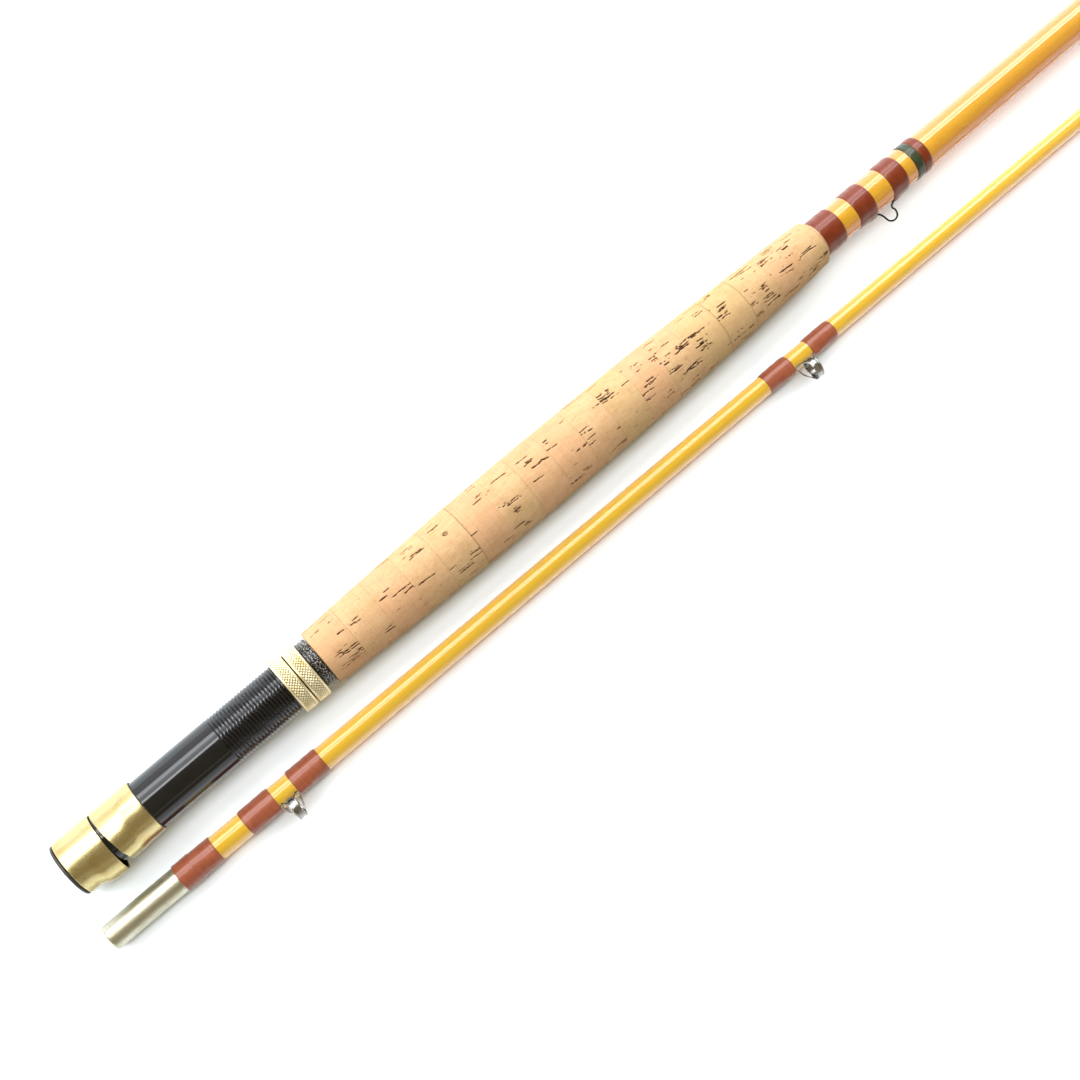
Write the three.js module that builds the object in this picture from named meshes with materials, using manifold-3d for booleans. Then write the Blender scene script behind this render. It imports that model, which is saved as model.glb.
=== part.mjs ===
// A two-piece fly rod, taken apart, its two sections lying side by side.
// Millimetres. +X runs from butt to tip along the butt section's axis, +Z is up, and the origin is
// the middle of the butt end. The tip section lies on the -Y side.
import * as THREE from "three";
import { mergeVertices } from "three/addons/utils/BufferGeometryUtils.js";
import Module from "manifold-3d";

const wasm = await Module();
wasm.setup();

// Fineness and clearances
const SIDES = 20;
const SLIM_SIDES = 16; // of cork rings, wraps and ferrules
const RING_SIDES = 12; // of guide rings
const WIRE_SIDES = 5;
const WIRE_STEPS = 3;
const END_GAP = 0.3; // between two faces that meet end to end
const FIT_GAP = 0.15; // between a sleeve and what it is on

// Reel seat
const BUTT_PLATE_LENGTH = 2.0;
const BUTT_PLATE_RADIUS = 9.9;
const HOOD_RADIUS = 10.1;
const HOOD_WALL = 0.65;
const HOOD_START = BUTT_PLATE_LENGTH + END_GAP;
const HOOD_END = 16.6;
const HOOD_FLARE = 1.7; // how far the pocket for the reel foot stands out at the mouth
const HOOD_MOUTH_SETBACK = 1.9; // how far the mouth falls back over the pocket
const SLIDING_HOOD_RADIUS = 10.0;
const SLIDING_HOOD_START = HOOD_END + END_GAP;
const SLIDING_HOOD_END = 32.7;
const SLIDING_HOOD_TURN = 55; // degrees round the barrel from the fixed hood's pocket
const BARREL_RADIUS = 9.2;
const BARREL_BORE = 8.4;
const BARREL_START = 4.5;
const SEAT_END = 106;
const LOCK_RING_RADIUS = 11;
const LOCK_RING_STARTS = { lower_lock_ring: 91.3, upper_lock_ring: 96.7 };
const LOCK_RING_LENGTH = 5.0;
const ARBOR_LENGTH = 20;
const ARBOR_STARTS = { seat_arbor_rear: 24, seat_arbor_front: 80 };

// Cork grip: rings of one standard length, turned to one outline
const CORK_RINGS = 18;
const CORK_RING_LENGTH = 12.7;
const CORK_JOINT = 0.1;
const CORK_OUTLINE = [
  [0, 10.5],
  [25, 11.4],
  [59, 12.25],
  [93, 12.5],
  [146, 12.0],
  [183, 10.75],
  [220, 9.55],
  [228.6, 8.75],
];

// Blanks: stations and outer radii, straight tapers between them
const BLANK_WALL = 1.0;
const BUTT_BLANK_TAPER = [
  [20, 7.0],
  [335, 7.0],
  [400, 6.85],
  [1203, 4.6],
];
const TIP_BLANK_TAPER = [
  [31.4, 4.55],
  [448, 3.15],
  [1228, 1.1],
];
const WRAP_THICKNESS = 0.42;

// Ferrule
const FERRULE_RADIUS = 4.7;
const FERRULE_DEPTH = 29; // of the male half in the female half
const MALE_FERRULE_START = -4.2;
const MALE_FERRULE_EXPOSED_END = 24.6;
const MALE_FERRULE_END = 31;
const FEMALE_FERRULE_END = 1233.5;
const FEMALE_FERRULE_LENGTH = 54;
const FEMALE_FERRULE_RADIUS = 5.5;

// How the tip section lies
const TIP_SECTION_SPACING = 25.3;
const TIP_SECTION_HEIGHT = -7.25;
const TIP_SECTION_YAW = 0.43;

// Wraps on the butt section, from the grip forward
const BUTT_WRAPS = [
  ["grip_wrap", 334.9, 343.7, "brownThread"],
  ["keeper_wrap_rear", 350.9, 359.3, "brownThread"],
  ["keeper_wrap_front", 368.0, 375.8, "brownThread"],
  ["trim_wrap_green", 379.7, 383.4, "greenThread"],
  ["trim_wrap_brown", 383.7, 387.1, "brownThread"],
];

// Guides: station of the ring, inner radius of the ring, radius of the wire, free length between the
// wraps, length of a wrap, and the height in degrees to which the ring points, seen from -Y
const STRIPPING_GUIDE = { at: 760, ring: 4.4, wire: 0.45, free: 12, wrap: 14, rise: 44 };
const RING_GUIDES = [
  { name: "guide_1", at: 68.5, ring: 3.15, wire: 0.35, free: 7.6, wrap: 12.6, rise: 44 },
  { name: "guide_2", at: 304, ring: 3.15, wire: 0.35, free: 9.0, wrap: 12.0, rise: 40 },
];
const SMALL_GUIDES = [
  { name: "guide_3", at: 520, ring: 2.7, wire: 0.38, free: 8.4, wrap: 11, rise: 42 },
  { name: "guide_4", at: 700, ring: 2.4, wire: 0.36, free: 7.8, wrap: 10, rise: 42 },
  { name: "guide_5", at: 855, ring: 2.1, wire: 0.34, free: 7.2, wrap: 9, rise: 42 },
  { name: "guide_6", at: 985, ring: 1.9, wire: 0.32, free: 6.8, wrap: 8, rise: 42 },
  { name: "guide_7", at: 1090, ring: 1.8, wire: 0.3, free: 6.4, wrap: 8, rise: 42 },
];
const RING_WALL = 0.4;
const RING_WIDTH = 2.8;

// Hook keeper: a wire loop that stands out on the -Y side
const KEEPER_WIRE = 0.3;
const KEEPER_REACH = 13.2;
const KEEPER_START = 359.7;
const KEEPER_END = 367.6;

// Tip-top
const TIP_TOP_START = 1212;
const TIP_TOP_END = 1225;
const TIP_TOP_RADIUS = 1.75;
const TIP_TOP_RING = 2.6;
const TIP_TOP_WIRE = 0.45;

const MATERIALS = {
  cork: { color: 0xd8b183, roughness: 0.75, metalness: 0 },
  amberGlass: { color: 0xe0a93a, roughness: 0.15, metalness: 0 },
  brownThread: { color: 0x9a4f33, roughness: 0.35, metalness: 0 },
  greenThread: { color: 0x35402b, roughness: 0.35, metalness: 0 },
  paleGold: { color: 0xd9c98a, roughness: 0.22, metalness: 1 },
  blackMetal: { color: 0x121316, roughness: 0.25, metalness: 0.6 },
  nickelSilver: { color: 0xc4bfa4, roughness: 0.3, metalness: 1 },
  guideSteel: { color: 0xb4b2b2, roughness: 0.2, metalness: 1 },
  blackWire: { color: 0x18181a, roughness: 0.4, metalness: 0.5 },
  darkPlastic: { color: 0x3a3632, roughness: 0.6, metalness: 0 },
};

function radians(degrees) {
  return THREE.MathUtils.degToRad(degrees);
}

function mesh(name, geometry, materialName) {
  const made = new THREE.Mesh(geometry, new THREE.MeshStandardMaterial(MATERIALS[materialName]));
  made.name = name;
  return made;
}

// A solid of revolution about X. The outline is [station, radius] points: forward along the outside,
// then back along the bore, or from the axis to the axis.
function turned(outline, sides = SIDES) {
  const points = outline.map(([station, radius]) => new THREE.Vector2(radius, station));
  return new THREE.LatheGeometry(points, sides, Math.PI / sides).rotateZ(-Math.PI / 2);
}

function sleeve(start, end, bore, radius, sides = SIDES) {
  const outline = [
    [start, bore],
    [start, radius],
    [end, radius],
    [end, bore],
    [start, bore],
  ];
  return turned(outline, sides);
}

// The radius at a station of a [station, radius] list with straight lines between its points.
function radiusAt(list, station) {
  const after = list.findIndex(([x]) => x > station);
  if (after === -1) return list[list.length - 1][1];
  if (after === 0) return list[0][1];
  const [x0, r0] = list[after - 1];
  const [x1, r1] = list[after];
  return THREE.MathUtils.mapLinear(station, x0, x1, r0, r1);
}

// An open tube that follows a taper, with walls of one thickness.
function taperedTube(taper, wall) {
  const bore = taper.map(([x, r]) => [x, r - wall]);
  return turned([bore[0], ...taper, ...bore.reverse()], SLIM_SIDES);
}

function toSolid(geometry) {
  const bare = geometry.clone();
  bare.deleteAttribute("normal");
  bare.deleteAttribute("uv");
  const merged = mergeVertices(bare, 1e-3);
  const vertProperties = merged.attributes.position.array;
  const triVerts = new Uint32Array(merged.index.array);
  return new wasm.Manifold(new wasm.Mesh({ numProp: 3, vertProperties, triVerts }));
}

function joined(geometries) {
  const solid = geometries.map(toSolid).reduce((all, next) => all.add(next));
  const { vertProperties, triVerts } = solid.getMesh();
  const made = new THREE.BufferGeometry();
  made.setAttribute("position", new THREE.BufferAttribute(vertProperties, 3));
  made.setIndex(new THREE.BufferAttribute(triVerts, 1));
  made.computeVertexNormals();
  return made;
}

// A round wire along a curve, given the points that the curve passes through.
function wire(points, radius, steps) {
  const corners = Array.from({ length: WIRE_SIDES }, (_, i) => {
    const angle = (2 * Math.PI * i) / WIRE_SIDES;
    return new THREE.Vector2(radius * Math.cos(angle), radius * Math.sin(angle));
  });
  const extrudePath = new THREE.CatmullRomCurve3(points.map((p) => new THREE.Vector3(...p)));
  return new THREE.ExtrudeGeometry(new THREE.Shape(corners), { extrudePath, steps });
}

// Pushes the walls of a turned hood outward round -Y to make the pocket for the reel foot. The push
// grows from nothing at the closed end to flare at the mouth, and the mouth falls back over it.
function flareHood(geometry, closedEnd, mouth, flare, setback) {
  const position = geometry.attributes.position;
  for (let i = 0; i < position.count; i++) {
    const [x, y, z] = [position.getX(i), position.getY(i), position.getZ(i)];
    const radius = Math.hypot(y, z);
    if (radius < BARREL_RADIUS) continue;
    const lobe = Math.max(0, -y / radius) ** 3;
    const along = THREE.MathUtils.smoothstep((x - closedEnd) / (mouth - closedEnd), 0, 1);
    const grown = (radius + flare * lobe * along) / radius;
    const back = along > 0.999 ? setback * lobe * Math.sign(closedEnd - mouth) : 0;
    position.setXYZ(i, x + back, y * grown, z * grown);
  }
  return geometry;
}

// Evenly spaced stations from start to end, as [station, radius] points.
function stations(start, end, count, radius) {
  return Array.from({ length: count }, (_, i) => [start + ((end - start) * i) / (count - 1), radius]);
}

function buttPlate() {
  return turned([
    [0, 0],
    [0, 6],
    [0.9, BUTT_PLATE_RADIUS - 0.3],
    [1.3, BUTT_PLATE_RADIUS],
    [BUTT_PLATE_LENGTH, BUTT_PLATE_RADIUS],
    [BUTT_PLATE_LENGTH, 0],
  ]);
}

function fixedHood() {
  const floor = HOOD_START + 1.7;
  const bore = HOOD_RADIUS - HOOD_WALL;
  const shell = turned([
    [HOOD_START, 0],
    [HOOD_START, HOOD_RADIUS],
    ...stations(6, HOOD_END, 5, HOOD_RADIUS),
    ...stations(HOOD_END, 6, 5, bore),
    [floor, bore],
    [floor, 0],
  ]);
  return flareHood(shell, 6, HOOD_END, HOOD_FLARE, HOOD_MOUTH_SETBACK);
}

function slidingHood() {
  const bore = SLIDING_HOOD_RADIUS - HOOD_WALL;
  const flareEnd = SLIDING_HOOD_END - 5;
  const shell = turned([
    [SLIDING_HOOD_START, bore],
    ...stations(SLIDING_HOOD_START, flareEnd, 5, SLIDING_HOOD_RADIUS),
    [SLIDING_HOOD_END, SLIDING_HOOD_RADIUS],
    [SLIDING_HOOD_END, bore],
    ...stations(flareEnd, SLIDING_HOOD_START, 5, bore),
  ]);
  return flareHood(shell, flareEnd, SLIDING_HOOD_START, HOOD_FLARE, 0);
}

function lockRing(start) {
  const end = start + LOCK_RING_LENGTH;
  const bore = BARREL_RADIUS + FIT_GAP;
  const rim = LOCK_RING_RADIUS - 0.9;
  return turned([
    [start, bore],
    [start, rim],
    [start + 1, LOCK_RING_RADIUS],
    [end - 1, LOCK_RING_RADIUS],
    [end, rim],
    [end, bore],
    [start, bore],
  ]);
}

function corkRing(index) {
  const start = SEAT_END + index * CORK_RING_LENGTH + CORK_JOINT / 2;
  const end = start + CORK_RING_LENGTH - CORK_JOINT;
  const bore = BUTT_BLANK_TAPER[0][1] + FIT_GAP;
  const ofGrip = (station) => radiusAt(CORK_OUTLINE, station - SEAT_END);
  const rounded = index === CORK_RINGS - 1 ? [[end - 2, ofGrip(end - 8.6)]] : [];
  const outline = [
    [start, bore],
    [start, ofGrip(start)],
    ...rounded,
    [end, ofGrip(end)],
    [end, bore],
    [start, bore],
  ];
  return turned(outline, SLIM_SIDES);
}

function hookKeeper() {
  const foot = radiusAt(BUTT_BLANK_TAPER, KEEPER_START) + KEEPER_WIRE + 0.1;
  const middle = (KEEPER_START + KEEPER_END) / 2;
  const points = [
    [KEEPER_START, -foot, 0],
    [KEEPER_START + 0.5, -foot - 1.6, 0],
    [KEEPER_START + 0.7, 0.8 - KEEPER_REACH, 0],
    [middle, -KEEPER_REACH, 0],
    [KEEPER_END - 0.7, 0.8 - KEEPER_REACH, 0],
    [KEEPER_END - 0.5, -foot - 1.6, 0],
    [KEEPER_END, -foot, 0],
  ];
  return wire(points, KEEPER_WIRE, 18);
}

// A guide's ring, in the guide's own frame: X along the rod, +Z from the rod's axis to the ring.
function guideRing(guide, height) {
  const outer = guide.ring + RING_WALL;
  const ring = sleeve(-RING_WIDTH / 2, RING_WIDTH / 2, guide.ring, outer, RING_SIDES);
  return ring.translate(0, 0, height);
}

// A guide's wire frame: a hoop with the given bore, and two wires from each foot to the hoop's sides.
function guideFrame(guide, bore, height, blankRadius) {
  const hoopRadius = bore + 2 * guide.wire;
  const wireReach = hoopRadius - guide.wire + 0.05;
  const hoop = sleeve(-RING_WIDTH / 2 + 0.2, RING_WIDTH / 2 - 0.2, bore, hoopRadius, RING_SIDES);
  const pieces = [hoop.translate(0, 0, height)];
  const footHeight = blankRadius + guide.wire + 0.1;
  for (const side of [-1, 1]) {
    const footEnd = side * (guide.free / 2 - END_GAP);
    const hoopSide = side * (RING_WIDTH / 2 - 0.5);
    const foot = new THREE.BoxGeometry(0.8, 3 * guide.wire, 2 * guide.wire);
    pieces.push(foot.translate(footEnd - side * 0.4, 0, footHeight));
    for (const hand of [-1, 1]) {
      const points = [
        [footEnd - side * 0.4, hand * guide.wire * 0.6, footHeight],
        [(footEnd + hoopSide) / 2, hand * wireReach * 0.76, height - wireReach * 0.72],
        [hoopSide, hand * wireReach, height],
      ];
      pieces.push(wire(points, guide.wire, WIRE_STEPS));
    }
  }
  return joined(pieces);
}

// From the rod's axis to the ring's.
function guideHeight(guide, blankRadius) {
  return blankRadius + 2 * guide.wire + guide.ring + RING_WALL + 0.3;
}

// The two wraps that hold a guide's feet, as [start, end] pairs of stations.
function guideWrapSpans(guide) {
  const half = guide.free / 2;
  return [
    [guide.at - half - guide.wrap, guide.at - half],
    [guide.at + half, guide.at + half + guide.wrap],
  ];
}

function wrapOn(taper, start, end) {
  const bore = radiusAt(taper, start) + FIT_GAP;
  return sleeve(start, end, bore, bore + WRAP_THICKNESS, SLIM_SIDES);
}

// A group that holds what points to the guides' side: +Z of the group points to -Y, raised by rise.
function pointingGroup(guide) {
  const group = new THREE.Group();
  group.position.x = guide.at;
  group.rotation.x = radians(90 - guide.rise);
  return group;
}

// A guide as separate frame, ring and wraps.
function largeGuide(name, guide, taper) {
  const blankRadius = radiusAt(taper, guide.at - guide.free / 2);
  const height = guideHeight(guide, blankRadius);
  const pointing = pointingGroup(guide);
  const frame = guideFrame(guide, guide.ring + RING_WALL + 0.1, height, blankRadius);
  pointing.add(mesh(`${name}_frame`, frame, "guideSteel"));
  pointing.add(mesh(`${name}_ring`, guideRing(guide, height), "guideSteel"));
  const [rear, front] = guideWrapSpans(guide);
  return [
    pointing,
    mesh(`${name}_wrap_rear`, wrapOn(taper, ...rear), "brownThread"),
    mesh(`${name}_wrap_front`, wrapOn(taper, ...front), "brownThread"),
  ];
}

// A guide as one piece: its hoop is the ring itself, and its feet are joined to the wraps.
function smallGuide(guide, taper) {
  const blankRadius = radiusAt(taper, guide.at - guide.free / 2 - guide.wrap);
  const height = guideHeight(guide, blankRadius);
  const bore = blankRadius + FIT_GAP;
  const footed = { ...guide, free: guide.free + 2 };
  const pieces = [guideFrame(footed, guide.ring, height, bore)];
  for (const [start, end] of guideWrapSpans({ ...guide, at: 0 })) {
    pieces.push(sleeve(start, end, bore, bore + WRAP_THICKNESS, RING_SIDES));
  }
  const pointing = pointingGroup(guide);
  pointing.add(mesh(guide.name, joined(pieces), "guideSteel"));
  return pointing;
}

function femaleFerrule() {
  const bore = FERRULE_RADIUS + 0.06;
  const start = FEMALE_FERRULE_END - FEMALE_FERRULE_LENGTH;
  const welt = FEMALE_FERRULE_END - 6;
  const outline = [
    [start, bore],
    [start, FEMALE_FERRULE_RADIUS - 0.4],
    [welt, FEMALE_FERRULE_RADIUS - 0.4],
    [welt + 0.5, FEMALE_FERRULE_RADIUS],
    [FEMALE_FERRULE_END, FEMALE_FERRULE_RADIUS],
    [FEMALE_FERRULE_END, bore],
    [start, bore],
  ];
  return turned(outline, SLIM_SIDES);
}

function ferruleWaterDam() {
  const end = FEMALE_FERRULE_END - FERRULE_DEPTH - END_GAP;
  const radius = FERRULE_RADIUS - 0.05;
  const outline = [
    [end - 1, 0],
    [end - 1, radius],
    [end, radius],
    [end, 0],
  ];
  return turned(outline, SLIM_SIDES);
}

function femaleFerruleWrap() {
  const end = FEMALE_FERRULE_END - FEMALE_FERRULE_LENGTH + 8;
  const step = FEMALE_FERRULE_END - FEMALE_FERRULE_LENGTH - END_GAP;
  const start = step - 14;
  const onFerrule = FEMALE_FERRULE_RADIUS - 0.4 + FIT_GAP;
  const onBlank = radiusAt(BUTT_BLANK_TAPER, start) + FIT_GAP;
  const outline = [
    [start, onBlank],
    [start, onBlank + WRAP_THICKNESS],
    [step, onFerrule + WRAP_THICKNESS],
    [end, onFerrule + WRAP_THICKNESS],
    [end, onFerrule],
    [step, onFerrule],
    [step, onBlank],
    [start, onBlank],
  ];
  return turned(outline, SLIM_SIDES);
}

function maleFerrule() {
  const skirt = FERRULE_RADIUS - 0.1;
  const bore = FERRULE_RADIUS - 0.3;
  const outline = [
    [MALE_FERRULE_START, 0],
    [MALE_FERRULE_START, FERRULE_RADIUS - 0.5],
    [MALE_FERRULE_START + 0.5, FERRULE_RADIUS],
    [MALE_FERRULE_EXPOSED_END, FERRULE_RADIUS],
    [MALE_FERRULE_EXPOSED_END, skirt],
    [MALE_FERRULE_END, skirt],
    [MALE_FERRULE_END, bore],
    [MALE_FERRULE_START + 6, bore],
    [MALE_FERRULE_START + 6, 0],
  ];
  return turned(outline, SLIM_SIDES);
}

function maleFerruleWrap() {
  const start = MALE_FERRULE_EXPOSED_END + END_GAP;
  const ridgeEnd = MALE_FERRULE_END + 0.4;
  const outline = [
    [start, FERRULE_RADIUS],
    [start, 5.1],
    [ridgeEnd, 5.1],
    [ridgeEnd + 0.3, 4.85],
    [40.1, 4.85],
    [40.1, FERRULE_RADIUS],
    [start, FERRULE_RADIUS],
  ];
  return turned(outline, SLIM_SIDES);
}

// The tip blank: a thinner stub inside the male ferrule, then the tapered tube.
function tipBlank() {
  const stub = FERRULE_RADIUS - 0.45;
  const tipWall = 0.6;
  const tip = TIP_BLANK_TAPER[TIP_BLANK_TAPER.length - 1];
  const outline = [
    [MALE_FERRULE_START + 6.3, stub - BLANK_WALL],
    [MALE_FERRULE_START + 6.3, stub],
    [MALE_FERRULE_END + 0.2, stub],
    ...TIP_BLANK_TAPER,
    [tip[0], tip[1] - tipWall],
    [TIP_BLANK_TAPER[1][0], TIP_BLANK_TAPER[1][1] - BLANK_WALL],
    [MALE_FERRULE_START + 6.3, stub - BLANK_WALL],
  ];
  return turned(outline, SLIM_SIDES);
}

// The tip-top's ring stands on a short arm in front of the tube's end.
function tipTopRing() {
  const turn = Math.PI / 2 - radians(RING_GUIDES[0].rise);
  const centre = TIP_TOP_RADIUS + TIP_TOP_RING + 0.9;
  const torus = new THREE.TorusGeometry(TIP_TOP_RING, TIP_TOP_WIRE, WIRE_SIDES, RING_SIDES);
  const station = TIP_TOP_END - 4;
  return torus.rotateY(Math.PI / 2).translate(station, 0, centre).rotateX(turn);
}

function buttSection() {
  const section = new THREE.Group();
  section.add(mesh("butt_plate", buttPlate(), "blackMetal"));
  section.add(mesh("butt_cap_hood", fixedHood(), "paleGold"));
  const barrel = sleeve(BARREL_START, SEAT_END - END_GAP, BARREL_BORE, BARREL_RADIUS);
  section.add(mesh("reel_seat_barrel", barrel, "blackMetal"));
  for (const [name, start] of Object.entries(ARBOR_STARTS)) {
    const bore = BUTT_BLANK_TAPER[0][1] + FIT_GAP;
    const arbor = sleeve(start, start + ARBOR_LENGTH, bore, BARREL_BORE - FIT_GAP);
    section.add(mesh(name, arbor, "darkPlastic"));
  }
  for (let i = 0; i < CORK_RINGS; i++) {
    const name = `cork_ring_${String(i + 1).padStart(2, "0")}`;
    section.add(mesh(name, corkRing(i), "cork"));
  }
  section.add(mesh("butt_blank", taperedTube(BUTT_BLANK_TAPER, BLANK_WALL), "amberGlass"));
  for (const [name, start, end, material] of BUTT_WRAPS) {
    section.add(mesh(name, wrapOn(BUTT_BLANK_TAPER, start, end), material));
  }
  section.add(mesh("hook_keeper", hookKeeper(), "blackWire"));
  section.add(...largeGuide("stripping_guide", STRIPPING_GUIDE, BUTT_BLANK_TAPER));
  section.add(mesh("female_ferrule", femaleFerrule(), "nickelSilver"));
  section.add(mesh("ferrule_water_dam", ferruleWaterDam(), "nickelSilver"));
  section.add(mesh("female_ferrule_wrap", femaleFerruleWrap(), "brownThread"));
  return section;
}

function reelSeatMovingParts() {
  const group = new THREE.Group();
  const hood = mesh("sliding_hood", slidingHood(), "paleGold");
  hood.rotation.x = -radians(SLIDING_HOOD_TURN);
  group.add(hood);
  for (const [name, start] of Object.entries(LOCK_RING_STARTS)) {
    group.add(mesh(name, lockRing(start), "paleGold"));
  }
  return group;
}

function tipSection() {
  const section = new THREE.Group();
  section.position.set(0, -TIP_SECTION_SPACING, TIP_SECTION_HEIGHT);
  section.rotation.z = -radians(TIP_SECTION_YAW);
  section.add(mesh("male_ferrule", maleFerrule(), "nickelSilver"));
  section.add(mesh("male_ferrule_wrap", maleFerruleWrap(), "brownThread"));
  section.add(mesh("tip_blank", tipBlank(), "amberGlass"));
  for (const guide of RING_GUIDES) {
    section.add(...largeGuide(guide.name, guide, TIP_BLANK_TAPER));
  }
  for (const guide of SMALL_GUIDES) {
    section.add(smallGuide(guide, TIP_BLANK_TAPER));
  }
  const tubeBore = radiusAt(TIP_BLANK_TAPER, TIP_TOP_START) + 0.1;
  const tube = sleeve(TIP_TOP_START, TIP_TOP_END, tubeBore, TIP_TOP_RADIUS, RING_SIDES);
  section.add(mesh("tip_top_tube", tube, "guideSteel"));
  section.add(mesh("tip_top_ring", tipTopRing(), "guideSteel"));
  const wrapStart = TIP_TOP_START - END_GAP - 10;
  const tipWrap = wrapOn(TIP_BLANK_TAPER, wrapStart, TIP_TOP_START - END_GAP);
  section.add(mesh("tip_top_wrap", tipWrap, "brownThread"));
  return section;
}

const rod = new THREE.Group();
rod.add(buttSection(), reelSeatMovingParts(), tipSection());

export default rod;
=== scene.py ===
from math import atan2, ceil, cos, hypot, pi, radians, sin

import bpy
import numpy as np
from mathutils import Matrix, Vector


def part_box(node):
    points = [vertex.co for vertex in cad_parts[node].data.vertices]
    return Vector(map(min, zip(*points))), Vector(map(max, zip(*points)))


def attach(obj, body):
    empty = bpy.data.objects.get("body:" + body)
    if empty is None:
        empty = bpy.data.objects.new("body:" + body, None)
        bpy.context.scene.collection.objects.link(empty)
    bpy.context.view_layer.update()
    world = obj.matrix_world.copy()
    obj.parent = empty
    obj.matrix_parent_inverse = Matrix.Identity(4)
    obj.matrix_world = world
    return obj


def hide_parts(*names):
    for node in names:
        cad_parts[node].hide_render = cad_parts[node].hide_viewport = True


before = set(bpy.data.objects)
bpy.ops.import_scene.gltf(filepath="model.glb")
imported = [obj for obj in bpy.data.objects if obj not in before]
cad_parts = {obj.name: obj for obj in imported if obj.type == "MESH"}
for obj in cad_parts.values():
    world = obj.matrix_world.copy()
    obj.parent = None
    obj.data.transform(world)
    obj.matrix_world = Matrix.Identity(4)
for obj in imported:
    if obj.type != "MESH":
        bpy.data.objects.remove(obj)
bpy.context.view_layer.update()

MM = 0.001
TABLE_HEIGHT = -12.5  # the cork's widest ring rests on the table
TABLE_HALF_SIZE = 2500
BARREL_RADIUS = 9.2
THREAD_PITCH = 1.27  # of the barrel
THREAD_START = 64.0
THREAD_DEPTH = 0.34
KNURL_COUNT = 56
KNURL_DEPTH = 0.34
HOOD_WALL = 0.65
CORK_RINGS = 18
PIT_DEPTH = 0.42  # of the cork
WINDING_PITCH = 0.21  # of the thread of a wrap
WINDING_STEP = WINDING_PITCH / 5  # between the points along a wrap
MALE_FERRULE_START = -4.2  # in the tip section's own frame
TIP_STUB_END = 31.3  # the tip blank is thinner up to here, inside the male ferrule
SHARP_EDGE = radians(50)

# Sides of turned pieces.
CORK_SIDES = 320
HOOD_SIDES = 128
BARREL_SIDES = 112
FINE = 96
ROUND = 64
SLIM = 48
SMALL = 32

# How far each wrap of the butt section starts and ends from where the CAD's does, and which of its ends
# covers a foot of the hook keeper.
BUTT_WRAPS = {
    "grip_wrap": (-0.5, 0.0, None),
    "keeper_wrap_rear": (-0.5, -0.5, "front"),
    "keeper_wrap_front": (-1.0, -1.0, "rear"),
    "trim_wrap_green": (-0.4, -0.4, None),
    "trim_wrap_brown": (-0.7, -0.4, None),
}

# Radius of the ring, radius of the wire, and length between the wraps.
SMALL_GUIDES = {
    "guide_3": (2.7, 0.38, 8.4),
    "guide_4": (2.4, 0.36, 7.8),
    "guide_5": (2.1, 0.34, 7.2),
    "guide_6": (1.9, 0.32, 6.8),
    "guide_7": (1.8, 0.3, 6.4),
}
SMALL_GUIDE_TURN = radians(138)  # from +Y towards +Z

FOCAL_LENGTH = 53.33
SENSOR_WIDTH = 36
CAMERA_AT = (96.2, -17.42, 539)
CAMERA_TILT = radians(9.7)  # from straight down towards +X
CAMERA_ROLL = radians(40.48)


# ---- numbers and places


def smoothstep(low, high, value):
    t = np.clip((value - low) / (high - low), 0, 1)
    return t * t * (3 - 2 * t)


class Place:
    """An origin and three axes, in millimetres of the row frame, and the CAD body that lies there."""

    def __init__(self, origin, axes, body="butt_section"):
        self.origin = np.array(origin, float)
        self.axes = np.array(axes, float)
        self.body = body

    def out(self, points):
        return self.origin + np.asarray(points) @ self.axes

    def into(self, points):
        return (np.asarray(points) - self.origin) @ self.axes.T

    def moved(self, station, turn=0.0):
        """A place further along X, with Y and Z turned about X by an angle in radians."""
        c, s = cos(turn), sin(turn)
        turned_axes = np.array([[1, 0, 0], [0, c, s], [0, -s, c]]) @ self.axes
        return Place(self.out([station, 0, 0]), turned_axes, self.body)


ROW = Place([0, 0, 0], np.eye(3))


def box_centre(node):
    low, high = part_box(node)
    return (np.array(low) + np.array(high)) / 2 / MM


def box_length(node):
    low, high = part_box(node)
    return (high.x - low.x) / MM


def tip_section_place():
    """The tip section's own frame: X along its axis, Z up, its origin inside the male ferrule."""
    rear, front = box_centre("male_ferrule"), box_centre("tip_top_tube")
    along = (front - rear) / np.linalg.norm(front - rear)
    side = np.cross([0, 0, 1], along)
    middle_of_ferrule = box_length("male_ferrule") / 2 + MALE_FERRULE_START
    return Place(rear - middle_of_ferrule * along, [along, side, [0, 0, 1]], "tip_section")


TIP = tip_section_place()


def vertices(node, place):
    """The vertices of a CAD node, in the frame of a place."""
    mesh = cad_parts[node].data
    points = np.empty(len(mesh.vertices) * 3)
    mesh.vertices.foreach_get("co", points)
    return place.into(points.reshape(-1, 3) / MM)


def stations(node, place=ROW):
    """[station, inner radius, outer radius] of a turned CAD node, from its vertices."""
    local = vertices(node, place)
    radius = np.hypot(local[:, 1], local[:, 2])
    rows = []
    for station in np.unique(np.round(local[:, 0], 1)):
        here = radius[np.abs(local[:, 0] - station) < 0.06]
        if len(here):
            rows.append((float(station), float(here.min()), float(here.max())))
    return rows


def span(node, place=ROW):
    """The first and last station of a CAD node."""
    rows = stations(node, place)
    return rows[0][0], rows[-1][0]


def outside_of(node, place=ROW):
    """[station, radius] of the outside of a CAD node."""
    return [(x, high) for x, _, high in stations(node, place)]


def radius_at(rows, station):
    """The radius between [station, radius] rows."""
    return np.interp(station, *np.array(rows).T)


# ---- mesh parts


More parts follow.
